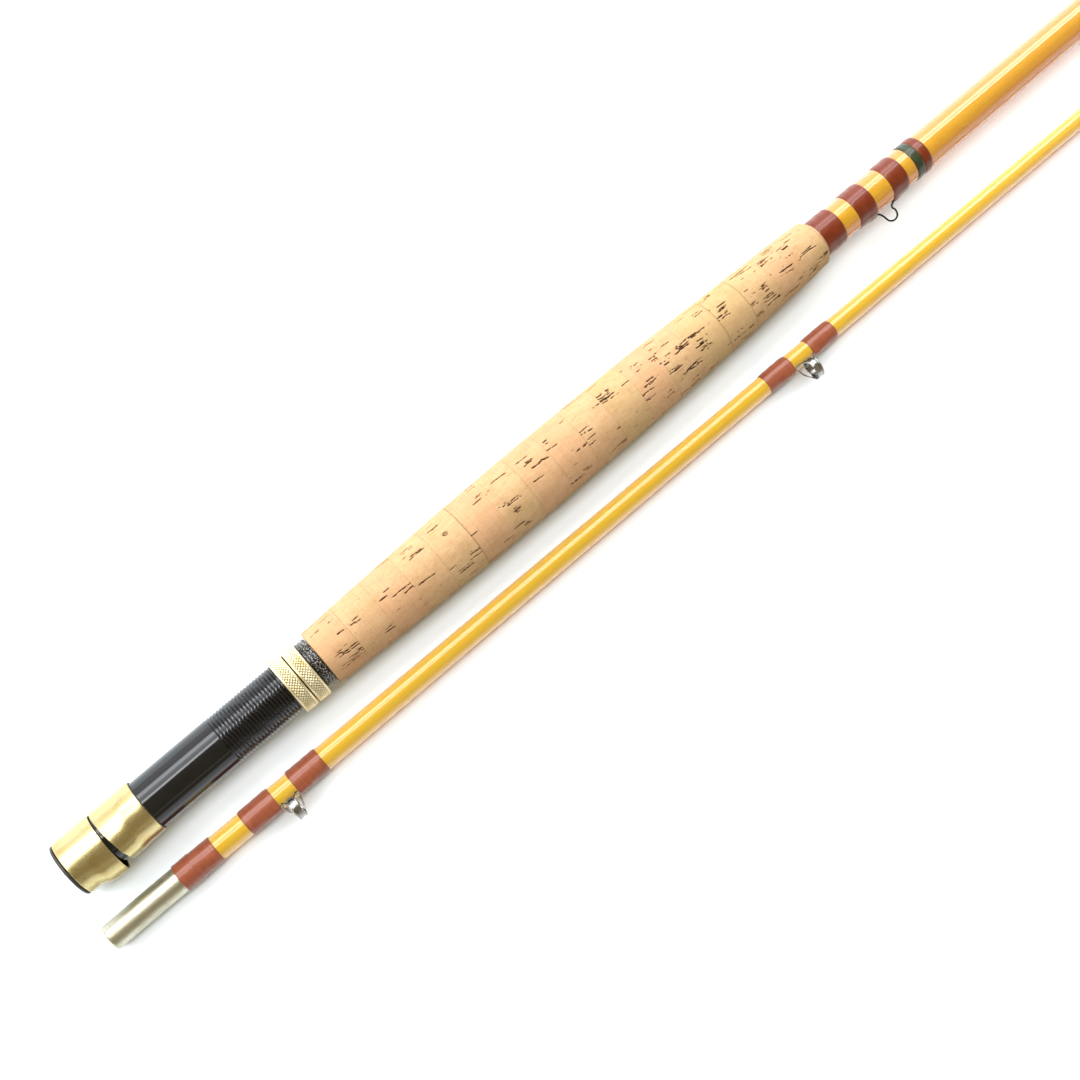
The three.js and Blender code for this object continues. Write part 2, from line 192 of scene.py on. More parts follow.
class Part:
    """Points with quads and triangles, and numbers kept at each point."""

    def __init__(self, points, quads=(), tris=(), marks=None):
        self.points = np.asarray(points, float).reshape(-1, 3)
        self.quads = np.asarray(quads, int).reshape(-1, 4)
        self.tris = np.asarray(tris, int).reshape(-1, 3)
        self.marks = marks or {}

    def at(self, place):
        return Part(place.out(self.points), self.quads, self.tris, self.marks)


def together(parts):
    count, points, quads, tris = 0, [], [], []
    for part in parts:
        points.append(part.points)
        quads.append(part.quads + count)
        tris.append(part.tris + count)
        count += len(part.points)
    return Part(np.concatenate(points), np.concatenate(quads), np.concatenate(tris))


def softened(outline, radius=0.3, steps=4, closed=False):
    """Rounds the corners of an outline of [station, radius] or [station, radius, rounding]."""
    count = len(outline)
    rounded = []
    for i, corner in enumerate(outline):
        point = np.array(corner[:2], float)
        wanted = corner[2] if len(corner) > 2 else radius
        if (not closed and i in (0, count - 1)) or wanted == 0:
            rounded.append(point)
            continue
        before = np.array(outline[i - 1][:2], float) - point
        after = np.array(outline[(i + 1) % count][:2], float) - point
        lengths = np.linalg.norm(before), np.linalg.norm(after)
        reach = min(wanted, 0.45 * lengths[0], 0.45 * lengths[1])
        a = point + before / lengths[0] * reach
        b = point + after / lengths[1] * reach
        for t in np.linspace(0, 1, steps + 1):
            rounded.append((1 - t) ** 2 * a + 2 * t * (1 - t) * point + t**2 * b)
    return np.array(rounded)


def refined(outline, step, closed=False):
    """Splits the straight stretches of an outline into lengths of at most step."""
    if closed:
        return refined(np.vstack([outline, outline[:1]]), step)[:-1]
    points = [outline[0]]
    for a, b in zip(outline[:-1], outline[1:]):
        pieces = max(1, ceil(np.linalg.norm(b - a) / step))
        points += [a + (b - a) * k / pieces for k in range(1, pieces + 1)]
    return np.array(points)


def walls(start, end, bore, radius):
    """The outline of a plain tube."""
    return [(start, bore), (start, radius), (end, radius), (end, bore)]


def turned(outline, sides=ROUND, warp=None, closed=False):
    """A solid of revolution about X, its outline running forward along the outside. warp takes and
    gives back arrays of station and radius, with the angle from +Y towards +Z."""
    outline = np.asarray(outline, float)
    angle = np.arange(sides) * 2 * pi / sides
    x = np.repeat(outline[:, :1], sides, axis=1)
    r = np.repeat(outline[:, 1:2], sides, axis=1)
    marks = {}
    if warp:
        x, r, *more = warp(x, r, angle[None, :])
        marks = more[0] if more else {}
    grid = np.stack([x, r * np.cos(angle), r * np.sin(angle)], axis=-1).reshape(-1, 3)
    index, kept = [], []
    for row, on_axis in enumerate(outline[:, 1] < 1e-6):
        index.append(len(kept) + (np.zeros(sides, int) if on_axis else np.arange(sides)))
        kept += range(row * sides, row * sides + (1 if on_axis else sides))
    quads, tris = [np.zeros((0, 4), int)], [np.zeros((0, 3), int)]
    for row in range(len(outline) if closed else len(outline) - 1):
        a, b = index[row], index[(row + 1) % len(outline)]
        a2, b2 = np.roll(a, -1), np.roll(b, -1)
        if a[0] == a[-1]:
            tris.append(np.stack([a, b2, b], axis=1))
        elif b[0] == b[-1]:
            tris.append(np.stack([a, a2, b], axis=1))
        else:
            quads.append(np.stack([a, a2, b2, b], axis=1))
    marks = {name: np.broadcast_to(v, x.shape).reshape(-1)[kept] for name, v in marks.items()}
    return Part(grid[kept], np.concatenate(quads), np.concatenate(tris), marks)


def turned_ring(outline, sides, rounding=0.1, steps=3):
    """A solid of revolution with a closed outline, its corners rounded."""
    return turned(softened(outline, rounding, steps, closed=True), sides, closed=True)


def smooth_path(points, per_span=6, closed=False):
    """Points on the Catmull-Rom curve through the given ones."""
    points = np.asarray(points, float)
    before, after = 2 * points[:1] - points[1:2], 2 * points[-1:] - points[-2:-1]
    if closed:
        before, after = points[-1:], points[:2]
    padded = np.vstack([before, points, after])
    path = []
    for i in range(len(padded) - 3):
        p0, p1, p2, p3 = padded[i : i + 4]
        for t in np.arange(per_span) / per_span:
            curve = 2 * p1 + (p2 - p0) * t + (2 * p0 - 5 * p1 + 4 * p2 - p3) * t**2
            path.append(0.5 * (curve + (3 * p1 - p0 - 3 * p2 + p3) * t**3))
    if not closed:
        path.append(points[-1])
    return np.array(path)


def wire(points, radius, sides=10, per_span=6, closed=False, taper=0.0):
    """A round wire along a smooth path. taper thins both of its ends."""
    path = smooth_path(points, per_span, closed)
    count = len(path)
    ahead = np.roll(path, -1, axis=0) - np.roll(path, 1, axis=0)
    if not closed:
        ahead[0], ahead[-1] = path[1] - path[0], path[-1] - path[-2]
    ahead /= np.linalg.norm(ahead, axis=1, keepdims=True)
    side = np.cross(ahead[0], [0.3, 0.2, 0.93])  # a direction that no wire starts in
    angle = np.arange(sides) * 2 * pi / sides
    thinned = 4  # steps of the path, at each end
    rings = []
    for i in range(count):
        side = side - ahead[i] * side.dot(ahead[i])
        side /= np.linalg.norm(side)
        other = np.cross(ahead[i], side)
        thin = radius * (1 - taper * (1 - min(1, i / thinned, (count - 1 - i) / thinned)))
        offset = np.outer(np.cos(angle), side) + np.outer(np.sin(angle), other)
        rings.append(path[i] + thin * offset)
    index = np.arange(count * sides).reshape(count, sides)
    following = np.roll(index, -1, axis=0) if closed else index[1:]
    a = index if closed else index[:-1]
    quads = np.stack([a, np.roll(a, -1, 1), np.roll(following, -1, 1), following], axis=-1)
    points = np.concatenate(rings)
    if closed:
        return Part(points, quads)
    points = np.vstack([points, path[:1], path[-1:]])
    first, last = index[0], index[-1]
    start_cap = np.stack([np.full(sides, count * sides), np.roll(first, -1), first], axis=1)
    end_cap = np.stack([np.full(sides, count * sides + 1), last, np.roll(last, -1)], axis=1)
    return Part(points, quads, np.vstack([start_cap, end_cap]))


def add_object(name, data):
    made = bpy.data.objects.new(name, data)
    bpy.context.scene.collection.objects.link(made)
    return made


def piece(node, part, look, place=ROW, body=None, name=None):
    """Makes a mesh object of a part, ties it to its CAD body, and hides the CAD node it stands for.
    The body is the place's and the name is the node's, if no others are given."""
    name = name or node.title()
    material, slot = look
    mesh = bpy.data.meshes.new(name)
    points = place.out(part.points) * MM
    corners = np.concatenate([part.quads.reshape(-1), part.tris.reshape(-1)])
    sizes = np.concatenate([np.full(len(part.quads), 4), np.full(len(part.tris), 3)])
    mesh.vertices.add(len(points))
    mesh.vertices.foreach_set("co", points.astype(np.float32).ravel())
    mesh.loops.add(len(corners))
    mesh.loops.foreach_set("vertex_index", corners.astype(np.int32))
    mesh.polygons.add(len(sizes))
    mesh.polygons.foreach_set("loop_start", (np.cumsum(sizes) - sizes).astype(np.int32))
    mesh.update(calc_edges=True)
    mesh.polygons.foreach_set("use_smooth", np.ones(len(sizes), bool))
    for mark, values in part.marks.items():
        layer = mesh.attributes.new(mark, "FLOAT", "POINT")
        layer.data.foreach_set("value", values.astype(np.float32))
    mesh.set_sharp_from_angle(angle=SHARP_EDGE)
    mesh.materials.append(material)
    made = add_object(name, mesh)
    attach(made, body or place.body)
    if node:
        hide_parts(node)


# ---- materials


def linear(red, green, blue):
    """A colour from 0..255 display values."""
    values = np.array([red, green, blue]) / 255
    low, high = values / 12.92, ((values + 0.055) / 1.055) ** 2.4
    return (*np.where(values <= 0.04045, low, high), 1.0)


class Nodes:
    """Makes and links the shader nodes of a material or a world."""

    def __init__(self, owner):
        owner.use_nodes = True
        self.nodes = owner.node_tree.nodes
        self.links = owner.node_tree.links

    def put(self, socket, value):
        if isinstance(value, bpy.types.NodeSocket):
            self.links.new(value, socket)
        else:
            socket.default_value = value

    def node(self, kind, output, inputs, **settings):
        """An output of a new node. Its inputs are values or other nodes' outputs."""
        made = self.nodes.new("ShaderNode" + kind)
        for setting, value in settings.items():
            setattr(made, setting, value)
        for socket, value in inputs.items():
            self.put(made.inputs[socket], value)
        return made.outputs[output]

    def fit(self, value, low, high, to_low=0.0, to_high=1.0, curve="LINEAR"):
        inputs = {"Value": value, "From Min": low, "From Max": high, "To Min": to_low, "To Max": to_high}
        return self.node("MapRange", "Result", inputs, interpolation_type=curve)

    def ramp(self, value, *stops, curve="LINEAR"):
        node = self.nodes.new("ShaderNodeValToRGB")
        self.put(node.inputs["Fac"], value)
        node.color_ramp.interpolation = curve
        elements = node.color_ramp.elements
        for i, (position, colour) in enumerate(stops):
            element = elements[i] if i < 2 else elements.new(position)
            element.position = position
            element.color = colour
        return node.outputs["Color"]


class Finish(Nodes):
    """One node material around its Principled shader."""

    def __init__(self, name, **sockets):
        self.material = bpy.data.materials.new(name)
        super().__init__(self.material)
        self.shader = self.nodes["Principled BSDF"]
        for socket, value in sockets.items():
            self.shader.inputs[socket.replace("_", " ")].default_value = value
        self.object = self.node("TexCoord", "Object", {})

    def space(self, x=1.0, y=1.0, z=1.0):
        """Coordinates in millimetres, stretched along the axes."""
        scale = (x / MM, y / MM, z / MM)
        return self.node("Mapping", "Vector", {"Scale": scale, "Vector": self.object})

    def noise(self, stretch, detail=2.0, roughness=0.5, distortion=0.0, scale=1.0):
        sockets = "Vector", "Scale", "Detail", "Roughness", "Distortion"
        values = self.space(*stretch), scale, detail, roughness, distortion
        return self.node("TexNoise", "Fac", dict(zip(sockets, values)))

    def mix(self, factor, a, b, blend="MIX"):
        inputs = {0: factor, 6: a, 7: b}
        return self.node("Mix", 2, inputs, data_type="RGBA", blend_type=blend)

    def times(self, a, b):
        return self.node("Math", 0, {0: a, 1: b}, operation="MULTIPLY")

    def plus(self, a, b, operation="ADD"):
        return self.node("Math", 0, {0: a, 1: b}, operation=operation)

    def station(self):
        """How far along X, in millimetres."""
        return self.node("SeparateXYZ", "X", {0: self.space()})

    def mark(self, name):
        """Numbers that are kept at the mesh's points."""
        return self.node("Attribute", "Fac", {}, attribute_name=name)

    def bump(self, height, strength, depth):
        inputs = {"Strength": strength, "Distance": depth * MM, "Height": height}
        self.put(self.shader.inputs["Normal"], self.node("Bump", "Normal", inputs))

    def colour(self, value, dim=1.0):
        if dim < 1:
            value = self.mix(1.0, value, (dim, dim, dim, 1), "MULTIPLY")
        self.put(self.shader.inputs["Base Color"], value)

    def rough(self, value):
        self.put(self.shader.inputs["Roughness"], value)

    def tint_shadow(self, share, colour):
        """Lets a share of the lamps' light through in a colour, as the thin glass wall does."""
        shadow = self.node("LightPath", "Is Shadow Ray", {})
        clear = self.node("BsdfTransparent", 0, {"Color": colour})
        factor = self.times(shadow, share)
        mixed = self.node("MixShader", 0, {0: factor, 1: self.shader.outputs[0], 2: clear})
        self.put(self.nodes["Material Output"].inputs["Surface"], mixed)


# Each finish gives its material and a slot name, which piece does not use. The arbor's and the table's
# give only the material.


def cork_finish():
    made = Finish("cork", Roughness=0.8, Specular_IOR_Level=0.25)
    broad = made.noise((0.12, 0.2, 0.2), 4.0, 0.6)
    grain = made.noise((0.3, 0.9, 0.9), 5.0, 0.7, 0.6)
    fine = made.noise((1, 1, 1), 4.0, 0.7, scale=3.2)
    lathe = made.noise((2.4, 0.05, 0.05), 3.0, 0.65)
    light = linear(188, 158, 118)
    base = made.ramp(broad, (0.34, linear(170, 137, 93)), (0.68, light), (0.5, linear(181, 148, 106)))
    streaks = made.ramp(grain, (0.36, linear(152, 118, 78)), (0.58, light))
    skin = made.mix(0.32, base, streaks)
    pink = made.mix(made.fit(made.mark("tint"), 0.0, 1.0, 0.0, 0.42), skin, linear(184, 134, 99))
    warm = made.mix(made.fit(made.mark("tint"), 0.0, -1.0, 0.0, 0.4), pink, linear(168, 145, 92))
    mottled = made.mix(made.fit(fine, 0.35, 0.75, 0.0, 0.25), warm, linear(192, 164, 126))
    turned_marks = made.mix(made.fit(lathe, 0.48, 0.7, 0.0, 0.24), mottled, linear(150, 112, 78))
    patches = made.fit(made.noise((0.35, 0.5, 0.5), 3.0, 0.6), 0.62, 0.78)
    patched = made.mix(made.times(patches, 0.5), turned_marks, linear(132, 98, 62))
    speckle = made.fit(made.noise((0.7, 1.3, 1.3), 3.0, 0.7, scale=1.7), 0.63, 0.73)
    speckled = made.mix(made.times(speckle, 0.75), patched, linear(108, 76, 48))
    stain = made.fit(made.mark("pit"), 0.02, 0.3, 0.0, 0.4)
    stained = made.mix(stain, speckled, linear(130, 88, 54))
    pits = made.fit(made.mark("pit"), 0.25, 0.75)
    made.colour(made.mix(pits, stained, linear(54, 30, 14)), 0.78)
    lumps = made.plus(fine, made.times(grain, 0.8))
    lumps = made.plus(lumps, made.times(lathe, 0.5))
    made.bump(made.plus(lumps, made.times(speckle, 0.8), "SUBTRACT"), 0.35, 0.12)
    return made.material, "cork"


def amber_glass_finish(name, deep, light, rim, dim):
    made = Finish(
        name,
        Specular_IOR_Level=0.4,
        Subsurface_Weight=0.35,
        Subsurface_Radius=(1.0, 0.42, 0.06),
        Subsurface_Scale=0.004,
        Coat_Weight=0.65,
        Coat_Roughness=0.05,
        Sheen_Weight=0.25,
        Sheen_Roughness=0.4,
        Sheen_Tint=linear(255, 180, 130),
    )
    fibres = made.noise((0.02, 1.4, 1.4), 3.0, 0.6)
    cloud = made.noise((0.06, 0.2, 0.2), 2.0)
    # Painted light: where the surface turns away from the eye, the colour goes to the rim colour, a
    # painted glow of light passing through the thin glass wall.
    edge = made.nodes.new("ShaderNodeLayerWeight").outputs["Facing"]
    glass = made.mix(made.fit(fibres, 0.3, 0.7), deep, light)
    made.colour(made.mix(made.fit(edge, 0.1, 0.45, 0.0, 0.9), glass, rim), dim)
    made.rough(made.fit(cloud, 0.3, 0.7, 0.12, 0.2))
    made.bump(fibres, 0.03, 0.05)
    made.tint_shadow(0.7, linear(255, 188, 138))
    return made.material, "amber_glass"


def thread_finish(name, dark, light, dim):
    made = Finish(
        name,
        Specular_IOR_Level=0.2,
        Coat_Weight=0.4,
        Coat_Roughness=0.08,
        Sheen_Weight=0.06,
        Sheen_Roughness=0.35,
        Sheen_Tint=linear(255, 224, 205),
    )
    turns = made.noise((5.0, 0.12, 0.12), 2.0, 0.6)
    broad = made.noise((0.3, 0.3, 0.3), 3.0, 0.6)
    shade = made.plus(made.times(turns, 0.6), made.times(broad, 0.4))
    made.colour(made.ramp(shade, (0.32, dark), (0.68, light)), dim)
    made.rough(made.fit(broad, 0.3, 0.7, 0.28, 0.42))
    made.bump(turns, 0.15, 0.02)
    return made.material, name.removesuffix("_tip")


def pale_gold_finish(name, clean, worn, smooth):
    made = Finish(name, Metallic=1.0)
    broad = made.noise((0.18, 0.18, 0.18), 3.0, 0.6)
    scratches = made.noise((0.5, 4.0, 4.0), 3.0, 0.6, 0.5)
    made.rough(made.fit(scratches, 0.3, 0.75, smooth, smooth + 0.07))
    skin = made.mix(made.fit(broad, 0.5, 0.72), clean, worn)
    # The knurled rings' mark darkens their deepest points to dark brown: partly dirt, partly painted
    # shade.
    made.colour(made.mix(made.mark("worn"), skin, linear(84, 64, 28)))
    made.bump(made.plus(broad, made.times(scratches, 0.03)), 0.12, 0.3)
    return made.material, "pale_gold"


def black_anodised_finish():
    made = Finish("black_anodised", Specular_IOR_Level=0.42, Coat_Weight=0.2, Coat_Roughness=0.06)
    haze = made.noise((0.15, 0.6, 0.6), 4.0, 0.6)
    lint = made.noise((2.2, 2.2, 2.2), 4.0, 0.75)
    near_cork = made.fit(made.station(), 101.5, 104.5)
    flecks = made.times(made.fit(lint, 0.54, 0.62), near_cork)
    body = made.mix(made.fit(haze, 0.3, 0.7), linear(6, 6, 7), linear(12, 12, 14))
    made.colour(made.mix(flecks, body, linear(190, 186, 178)))
    made.rough(made.plus(made.fit(haze, 0.3, 0.7, 0.07, 0.14), flecks, "MAXIMUM"))
    made.bump(made.plus(made.times(haze, 0.1), flecks), 0.2, 0.1)
    return made.material, "black_anodised"


def satin_black_finish():
    made = Finish("satin_black", Specular_IOR_Level=0.3)
    cloud = made.noise((0.5, 0.5, 0.5), 4.0, 0.6)
    grit = made.noise((3.0, 3.0, 3.0), 3.0, 0.6)
    made.colour(made.mix(made.fit(cloud, 0.3, 0.7), linear(34, 31, 27), linear(52, 48, 42)))
    made.rough(made.fit(grit, 0.3, 0.7, 0.38, 0.52))
    made.bump(grit, 0.15, 0.04)
    return made.material, "black_anodised"


def nickel_silver_finish():
    made = Finish("nickel_silver", Metallic=1.0)
    broad = made.noise((0.12, 0.35, 0.35), 4.0, 0.65)
    lines = made.noise((3.0, 0.4, 0.4), 3.0, 0.6)
    spots = made.fit(made.noise((1, 1, 1), 3.0, 0.6, scale=1.1), 0.7, 0.76)
    skin = made.ramp(broad, (0.32, linear(166, 160, 135)), (0.68, linear(192, 189, 171)))
    made.colour(made.mix(spots, skin, linear(84, 72, 50)))
    made.rough(made.fit(broad, 0.3, 0.7, 0.45, 0.36))
    made.bump(made.plus(made.times(lines, 0.15), spots, "SUBTRACT"), 0.4, 0.08)
    return made.material, "nickel_silver"


def guide_steel_finish():
    made = Finish("guide_steel", Metallic=1.0)
    broad = made.noise((0.5, 0.5, 0.5), 3.0, 0.6)
    lines = made.noise((4.0, 0.8, 0.8), 3.0, 0.6)
    made.colour(made.ramp(broad, (0.35, linear(132, 129, 124)), (0.7, linear(164, 162, 158))))
    made.rough(made.fit(broad, 0.3, 0.7, 0.2, 0.3))
    made.bump(lines, 0.12, 0.03)
    return made.material, "guide_steel"


def black_wire_finish():
    made = Finish("black_wire", Specular_IOR_Level=0.2)
    worn = made.noise((0.7, 0.7, 0.7), 4.0, 0.7)
    made.colour(made.ramp(worn, (0.45, linear(8, 8, 8)), (0.75, linear(22, 19, 16))))
    made.rough(made.fit(worn, 0.3, 0.7, 0.45, 0.6))
    made.bump(worn, 0.2, 0.03)
    return made.material, "black_wire"


def arbor_finish():
    made = Finish("arbor_plastic", Roughness=0.6)
    cloud = made.noise((0.4, 0.4, 0.4), 4.0, 0.6)
    made.colour(made.ramp(cloud, (0.35, linear(52, 47, 43)), (0.7, linear(72, 66, 60))))
    made.bump(cloud, 0.2, 0.05)
    return made.material


def table_finish():
    made = Finish("table", Roughness=0.75, Specular_IOR_Level=0.2)
    cloud = made.noise((0.004, 0.004, 0.004), 2.0)
    made.colour(made.mix(cloud, linear(226, 237, 246), linear(229, 239, 249)))
    return made.material


CORK = cork_finish()
# The third colour of each is the painted glow along the blank's edges.
AMBER = amber_glass_finish(
    "amber_glass", linear(190, 143, 30), linear(198, 152, 40), linear(206, 134, 74), 0.7
)
TIP_AMBER = amber_glass_finish(
    "amber_glass_tip", linear(192, 154, 38), linear(199, 163, 50), linear(226, 184, 104), 0.8
)
BROWN = thread_finish("brown_thread", linear(114, 41, 11), linear(136, 54, 18), 0.5)
TIP_BROWN = thread_finish("brown_thread_tip", linear(120, 62, 40), linear(142, 78, 54), 0.84)
GREEN = thread_finish("green_thread", linear(28, 36, 20), linear(50, 58, 34), 0.8)
GOLD = pale_gold_finish("pale_gold", linear(193, 179, 130), linear(186, 164, 106), 0.25)
KNURLED_GOLD = pale_gold_finish(
    "pale_gold_knurled", linear(232, 221, 186), linear(222, 204, 154), 0.4
)
BLACK = black_anodised_finish()
SATIN = satin_black_finish()
NICKEL = nickel_silver_finish()
STEEL = guide_steel_finish()
WIRE = black_wire_finish()
ARBOR = arbor_finish()


# ---- reel seat


def pocket(rise_start, rise_end, mouth, turn, height, setback):
    """Pushes a hood's wall out round one direction to make the pocket for the reel foot, and cuts
    its mouth back towards -Y."""

    def warp(x, r, angle):
        lobe = np.maximum(0, np.cos(angle - turn)) ** 3
        opened = ((1 - np.cos(angle)) / 2) ** 1.6
        reach = (mouth - x) / (mouth - rise_start)
        rising = (rise_start, rise_end, x) if mouth > rise_start else (-rise_start, -rise_end, -x)
        steep = smoothstep(*rising)
        along = 0.72 * steep + 0.28 * (1 - np.clip(reach, 0, 1)) * steep
        wall = smoothstep(8.2, 9.3, r)
        at_mouth = smoothstep(0.35, 0.0, np.clip(reach, 0, 1))
        back = setback * opened * wall * at_mouth * np.sign(rise_start - mouth)
        return x + back, r + height * lobe * along * wall

    return warp


def build_butt_plate():
    rows = stations("butt_plate")
    end, radius = rows[-1][0], rows[-1][2]
    outline = [
        (0.5, 0), (0.5, 3.2), (0.75, 3.5), (0.75, 4.3), (0.5, 4.6), (0.5, 6.4),
        (1.0, radius - 0.4, 0.6), (1.4, radius, 0.3), (end, radius, 0.2), (end, 0),
    ]
    part = turned(softened(outline, 0.2), FINE)
    piece("butt_plate", part, SATIN)


def build_fixed_hood():
    rows = stations("butt_cap_hood")
    start, end = rows[0][0], rows[-1][0]
    radius, floor = rows[0][2] + 0.15, start + 1.7
    outline = [
        (start, 0), (start, radius - 0.1, 0.45), (start + 1.2, radius, 0.5), (end, radius, 0.25),
        (end, radius - HOOD_WALL, 0.2), (floor, radius - HOOD_WALL, 0.5), (floor, 0),
    ]
    points = refined(softened(outline, 0.3), 0.35)
    warp = pocket(5.6, 10.6, mouth=end, turn=pi, height=2.0, setback=0.5)
    part = turned(points, HOOD_SIDES, warp)
    piece("butt_cap_hood", part, GOLD, name="Fixed_Hood")


def build_sliding_hood():
    rows = stations("sliding_hood")
    start, end = rows[0][0] + 0.3, rows[-1][0]
    radius = rows[-1][2] + 0.1
    outline = [
        (start, radius - HOOD_WALL, 0.2), (start, radius, 0.25), (end - 0.7, radius, 0.3),
        (end, radius - 0.12, 0.2), (end, radius - HOOD_WALL, 0.15),
    ]
    points = refined(softened(outline, closed=True), 0.35, closed=True)
    turn = radians(125)
    warp = pocket(end - 4.5, end - 9.5, mouth=start, turn=turn, height=1.8, setback=2.4)
    part = turned(points, HOOD_SIDES, warp, closed=True)
    piece("sliding_hood", part, GOLD, body="sliding_hood")
    # A thin satin black ring round the front edge of the hood, over the barrel, which draws a dark line
    # where the hood meets the barrel.
    lip = walls(end - 0.6, end + 0.3, BARREL_RADIUS + 0.04, radius - 0.4)
    part = turned_ring(lip, FINE, 0.12, 4)
    piece(None, part, SATIN, body="sliding_hood", name="Sliding_Hood_Dark_Ring")


def build_barrel():
    rows = stations("reel_seat_barrel")
    start, bore, radius = rows[0]
    end = rows[-1][0]

    def thread(x, r, angle):
        phase = (x - THREAD_START) / THREAD_PITCH - angle / (2 * pi)
        groove = np.abs((phase % 1) - 0.5) * 2
        cut = 1 - smoothstep(0.0, 0.6, groove)
        begun = smoothstep(0.0, 0.4, phase)
        outside = smoothstep(8.7, 9.0, r)
        return x, r - THREAD_DEPTH * cut * begun * outside

    soft = softened(walls(start, end, bore, radius), 0.2, closed=True)
    rear, front = soft[:10], soft[10:]
    points_of_thread = int((end - 0.3 - THREAD_START) / THREAD_PITCH * 11)
    smooth = np.linspace(rear[-1][0], THREAD_START - 1, 8)[1:]
    threaded = np.linspace(THREAD_START - 0.5, end - 0.35, points_of_thread)
    along = np.concatenate([smooth, threaded])
    points = np.vstack([rear, np.stack([along, np.full(len(along), radius)], 1), front])
    part = turned(points, BARREL_SIDES, thread, closed=True)
    piece("reel_seat_barrel", part, BLACK, name="Reel_Barrel")


def build_lock_ring(node):
    rows = stations(node)
    start, end = rows[0][0], rows[-1][0]
    bore = rows[0][1]
    radius = max(row[2] for row in rows)
    rim = 0.55

    def knurl(x, r, angle):
        along = (x - start) * KNURL_COUNT / (2 * pi * radius)
        around = angle * KNURL_COUNT / (2 * pi)
        first = np.abs(((along + around) % 1) - 0.5) * 2
        second = np.abs(((along - around) % 1) - 0.5) * 2
        cut = 1 - smoothstep(0.0, 0.6, np.minimum(first, second))
        band = smoothstep(start + rim, start + rim + 0.2, x)
        band = band * smoothstep(end - rim, end - rim - 0.2, x)
        band = band * smoothstep(radius - 0.3, radius - 0.05, r)
        # Darker where the knurl's grooves cross, at its deepest points: partly dirt in the hollows,
        # partly painted shade.
        hollow_dirt_and_shade = (1 - smoothstep(0.2, 0.85, np.hypot(first, second))) * band
        return x, r - KNURL_DEPTH * cut * band, {"worn": hollow_dirt_and_shade}

    outline = [
        (start, bore + 0.35, 0.1), (start, radius - 0.45, 0.15), (start + 0.45, radius, 0.12),
        (end - 0.45, radius, 0.12), (end, radius - 0.45, 0.15), (end, bore + 0.35, 0.1),
        (end - 0.35, bore, 0.1), (start + 0.35, bore, 0.1),
    ]
    points = refined(softened(outline, 0.1, 3, closed=True), 0.12, closed=True)
    inside = points[:, 1] < bore + 0.05
    keep = ~inside | (np.arange(len(points)) % 8 == 0)
    part = turned(points[keep], KNURL_COUNT * 7, knurl, closed=True)
    piece(node, part, KNURLED_GOLD, body=node)


# ---- cork


def wander(x, rng, every, amount):
    """A slow random line over x."""
    knots = np.arange(x.min() - every, x.max() + 2 * every, every)
    return np.interp(x, knots, rng.uniform(-amount, amount, len(knots)))


def streak(x, arc, girth, rng, centre, middle, length, width, solid):
    """One pit along the grain, as deep as 1 in its middle."""
    line = middle + wander(x, rng, 1.6, min(0.25, length * 0.04)) + 0.05 * (x - centre)
    across = (arc - line + girth / 2) % girth - girth / 2
    ragged = width * (1 + wander(x, rng, 0.5, 0.55))
    shape = np.clip(1.7 - 1.7 * np.abs(across) / ragged, 0, 1)
    ends = 1 - smoothstep(0.75, 1.0, np.abs(x - centre) / (length / 2 + 0.1))
    broken = smoothstep(-0.35, 0.1, wander(x, rng, 0.8, 1.0) + solid)
    return shape * ends * broken


def pit_field(x, arc, girth, rng, density):
    """How deep the cork's natural pits are at each point, from 0 to 1."""
    low, high = x.min(), x.max()
    field = np.zeros(x.shape)
    for _ in range(int(13 * density)):
        centre, middle = rng.uniform(low, high), rng.uniform(0, girth)
        length = rng.uniform(2.5, 11.0)
        for _ in range(rng.integers(1, 4)):
            near = centre + rng.uniform(-1.5, 1.5), middle + rng.uniform(-1.4, 1.4)
            size = length * rng.uniform(0.5, 1.0), rng.uniform(0.13, 0.26)
            mark = streak(x, arc, girth, rng, *near, *size, rng.uniform(0.2, 0.8))
            field = np.maximum(field, mark)
    for _ in range(rng.poisson(0.9 * density)):
        centre, middle = rng.uniform(low + 1, high - 1), rng.uniform(0, girth)
        for _ in range(6):
            near = centre + rng.uniform(-0.9, 0.9), middle + rng.uniform(-0.7, 0.7)
            size = rng.uniform(0.8, 2.4), rng.uniform(0.12, 0.3)
            strength = rng.uniform(0.4, 1.0)
            field = np.maximum(field, strength * streak(x, arc, girth, rng, *near, *size, 0.5))
    for _ in range(int(12 * density)):
        near = rng.uniform(low, high), rng.uniform(0, girth)
        size = rng.uniform(0.4, 1.6), rng.uniform(0.08, 0.16)
        strength = rng.uniform(0.3, 0.8)
        field = np.maximum(field, strength * streak(x, arc, girth, rng, *near, *size, 1.0))
    return field


def grip_outline():
    """[station, radius] at the start of each cork ring and at the end of the last one."""
    knots = []
    for number in range(1, CORK_RINGS + 1):
        rows = stations(f"cork_ring_{number:02d}")
        knots.append((rows[0][0], rows[0][2]))
    knots.append((rows[-1][0], rows[-1][2]))
    return np.array(knots)


